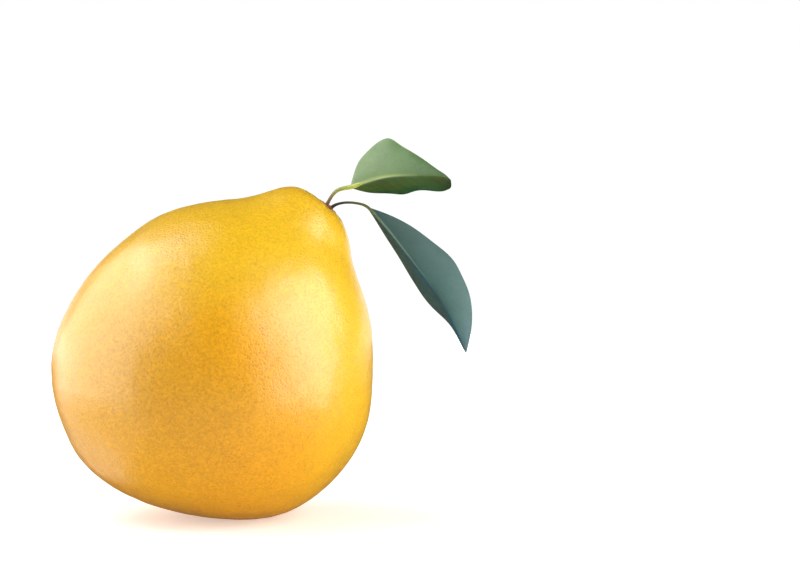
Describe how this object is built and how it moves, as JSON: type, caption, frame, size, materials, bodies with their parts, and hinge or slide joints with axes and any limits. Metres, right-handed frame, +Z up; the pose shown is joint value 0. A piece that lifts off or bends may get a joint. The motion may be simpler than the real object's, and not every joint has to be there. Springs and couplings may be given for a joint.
{
  "type": "pomelo",
  "caption": "Whole orange-gold pomelo, pear-shaped with a blunt neck, lying tilted on its side, with leaves on the stem end.",
  "frame": {"origin": "centre of the flat resting spot under the fruit", "axes": "+Z is up, -Z is the resting spot's outward normal, +X is the side that the neck and leaves lean to, -Y is the front"},
  "size_m": [0.2007, 0.1476, 0.1813],
  "materials": {
    "peel": "waxy satin citrus peel with oil-gland pores",
    "bark": "dry matte bark",
    "stalk": "smooth green leaf stalk, brown at its foot",
    "leaf": "waxy satin leaf"
  },
  "bodies": {
    "root": {"fruit": "peel", "calyx": "bark", "stem_stub": "bark", "upper_petiole": "stalk", "upper_leaf": "leaf", "lower_petiole": "stalk", "lower_leaf": "leaf"}
  },
  "joints": []
}
